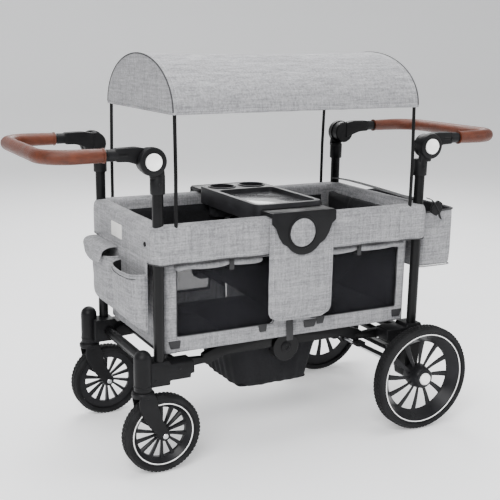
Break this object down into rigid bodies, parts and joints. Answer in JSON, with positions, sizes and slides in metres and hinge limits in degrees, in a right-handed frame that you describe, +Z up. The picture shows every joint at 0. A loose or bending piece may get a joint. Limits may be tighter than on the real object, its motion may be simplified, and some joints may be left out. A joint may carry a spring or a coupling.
{
  "type": "folding push wagon",
  "caption": "Folding two-seat wagon with a push handle at each end, a canopy on hoops, a centre tray and swivelling front casters.",
  "frame": {"origin": "on the floor under the middle of the wagon", "axes": "+Z up, +X to the rear (big-wheel) end, -X to the caster end, -Y the left side"},
  "size_m": [1.428, 0.6228, 1.097],
  "materials": {
    "frame_metal": "satin black powder coat",
    "moulded_plastic": "fine-grained black moulding",
    "white_trim": "glossy white",
    "axle_steel": "bright zinc-plated steel",
    "tyre_rubber": "black foam rubber with a fine tread",
    "grip_leather": "brown leatherette with a stitched seam",
    "grey_cloth": "heathered grey woven polyester",
    "black_cloth": "black woven polyester and mesh"
  },
  "bodies": {
    "root": {"rear_frame": "frame_metal", "rear_hinge_left": "moulded_plastic", "rear_hinge_right": "moulded_plastic", "rear_bracket_left": "moulded_plastic", "rear_bracket_right": "moulded_plastic", "rear_axle": "axle_steel", "rear_canopy_hoop": "frame_metal", "canopy": "grey_cloth", "rear_tub": "grey_cloth", "rear_bag": "grey_cloth", "rear_back_pad": "black_cloth"},
    "rear_floor": {"rear_floor_frame": "frame_metal", "floor_pivot_left": "frame_metal", "floor_pivot_right": "frame_metal", "rear_seat_pad": "black_cloth", "foot_well": "black_cloth"},
    "front_floor": {"front_floor_frame": "frame_metal", "front_seat_pad": "black_cloth"},
    "front_end": {"front_frame": "frame_metal", "front_hinge_left": "moulded_plastic", "front_hinge_right": "moulded_plastic", "caster_bracket_left": "moulded_plastic", "caster_bracket_right": "moulded_plastic", "front_canopy_hoop": "frame_metal", "front_tub": "grey_cloth", "front_organiser": "grey_cloth", "front_back_pad": "black_cloth"},
    "rear_top_rails": {"rear_top_rail_left": "frame_metal", "rear_top_rail_right": "frame_metal"},
    "front_top_rails": {"front_top_rail_left": "frame_metal", "front_top_rail_right": "frame_metal"},
    "side_hangers": {"tray_hanger_left": "moulded_plastic", "tray_hanger_right": "moulded_plastic", "side_pocket_left": "grey_cloth", "side_pocket_right": "grey_cloth"},
    "tray": {"tray": "moulded_plastic"},
    "front_handle": {"front_handle_bar": "frame_metal", "front_handle_grip": "grip_leather"},
    "rear_handle": {"rear_handle_bar": "frame_metal", "rear_handle_grip": "grip_leather"},
    "front_button_left": {"front_button_left": "white_trim"},
    "front_button_right": {"front_button_right": "white_trim"},
    "rear_button_left": {"rear_button_left": "white_trim"},
    "rear_button_right": {"rear_button_right": "white_trim"},
    "left_fork": {"fork_left": "moulded_plastic", "caster_axle_left": "axle_steel"},
    "right_fork": {"fork_right": "moulded_plastic", "caster_axle_right": "axle_steel"},
    "left_front_wheel": {"front_rim_left": "moulded_plastic", "front_tyre_left": "tyre_rubber"},
    "right_front_wheel": {"front_rim_right": "moulded_plastic", "front_tyre_right": "tyre_rubber"},
    "left_rear_wheel": {"rear_rim_left": "moulded_plastic", "rear_tyre_left": "tyre_rubber", "rear_hub_cap_left": "white_trim"},
    "right_rear_wheel": {"rear_rim_right": "moulded_plastic", "rear_tyre_right": "tyre_rubber", "rear_hub_cap_right": "white_trim"},
    "brake": {"brake_pedal": "frame_metal"}
  },
  "joints": [
    {"name": "fold", "type": "hinge", "parent": "root", "child": "rear_floor", "pos_m": [0.375, 0, 0.277], "axis": [0, 1, 0], "range_deg": [0, 44], "deforming": ["canopy", "front_tub", "rear_tub", "foot_well", "front_seat_pad", "rear_seat_pad", "front_back_pad", "rear_back_pad", "side_pocket_left", "side_pocket_right"]},
    {"name": "front_floor_fold", "type": "hinge", "parent": "rear_floor", "child": "front_floor", "pos_m": [0, 0, 0.28], "axis": [0, 1, 0], "range_deg": [-88, 0]},
    {"name": "front_end_fold", "type": "hinge", "parent": "front_floor", "child": "front_end", "pos_m": [-0.375, 0, 0.277], "axis": [0, 1, 0], "range_deg": [0, 44]},
    {"name": "rear_top_rail_fold", "type": "hinge", "parent": "root", "child": "rear_top_rails", "pos_m": [0.375, 0, 0.627], "axis": [0, 1, 0], "range_deg": [0, 44]},
    {"name": "front_top_rail_fold", "type": "hinge", "parent": "rear_top_rails", "child": "front_top_rails", "pos_m": [0, 0, 0.63], "axis": [0, 1, 0], "range_deg": [-88, 0]},
    {"name": "hanger_level", "type": "hinge", "parent": "rear_top_rails", "child": "side_hangers", "pos_m": [0, 0, 0.63], "axis": [0, 1, 0], "range_deg": [-44, 0]},
    {"name": "tray_lift", "type": "slide", "parent": "side_hangers", "child": "tray", "axis": [0, 0, 1], "range_m": [0, 0.05]},
    {"name": "front_handle_turn", "type": "hinge", "parent": "front_end", "child": "front_handle", "pos_m": [-0.427, 0, 0.839], "axis": [0, 1, 0], "range_deg": [-45, 75]},
    {"name": "rear_handle_turn", "type": "hinge", "parent": "root", "child": "rear_handle", "pos_m": [0.427, 0, 0.839], "axis": [0, 1, 0], "range_deg": [-75, 45]},
    {"name": "front_button_left_press", "type": "slide", "parent": "front_end", "child": "front_button_left", "axis": [0, 1, 0], "range_m": [0, 0.003], "stiffness_N_per_m": 1500},
    {"name": "front_button_right_press", "type": "slide", "parent": "front_end", "child": "front_button_right", "axis": [0, -1, 0], "range_m": [0, 0.003], "stiffness_N_per_m": 1500},
    {"name": "rear_button_left_press", "type": "slide", "parent": "root", "child": "rear_button_left", "axis": [0, 1, 0], "range_m": [0, 0.003], "stiffness_N_per_m": 1500},
    {"name": "rear_button_right_press", "type": "slide", "parent": "root", "child": "rear_button_right", "axis": [0, -1, 0], "range_m": [0, 0.003], "stiffness_N_per_m": 1500},
    {"name": "left_fork_swivel", "type": "hinge", "parent": "front_end", "child": "left_fork", "pos_m": [-0.455, -0.2225, 0.236], "axis": [0, 0, 1], "continuous": true},
    {"name": "left_front_wheel_spin", "type": "hinge", "parent": "left_fork", "child": "left_front_wheel", "pos_m": [-0.404, -0.2225, 0.11], "axis": [0, 1, 0], "continuous": true},
    {"name": "left_rear_wheel_spin", "type": "hinge", "parent": "root", "child": "left_rear_wheel", "pos_m": [0.407, -0.28, 0.159], "axis": [0, 1, 0], "continuous": true},
    {"name": "right_fork_swivel", "type": "hinge", "parent": "front_end", "child": "right_fork", "pos_m": [-0.455, 0.2225, 0.236], "axis": [0, 0, 1], "continuous": true},
    {"name": "right_front_wheel_spin", "type": "hinge", "parent": "right_fork", "child": "right_front_wheel", "pos_m": [-0.404, 0.2225, 0.11], "axis": [0, 1, 0], "continuous": true},
    {"name": "right_rear_wheel_spin", "type": "hinge", "parent": "root", "child": "right_rear_wheel", "pos_m": [0.407, 0.28, 0.159], "axis": [0, 1, 0], "continuous": true},
    {"name": "brake_press", "type": "hinge", "parent": "root", "child": "brake", "pos_m": [0.407, 0, 0.159], "axis": [0, 1, 0], "range_deg": [0, 20]}
  ],
  "couplings": [
    {"joint": "front_floor_fold", "follows": "fold", "ratio": -2},
    {"joint": "front_end_fold", "follows": "fold", "ratio": 1},
    {"joint": "rear_top_rail_fold", "follows": "fold", "ratio": 1},
    {"joint": "front_top_rail_fold", "follows": "fold", "ratio": -2},
    {"joint": "hanger_level", "follows": "fold", "ratio": -1}
  ]
}
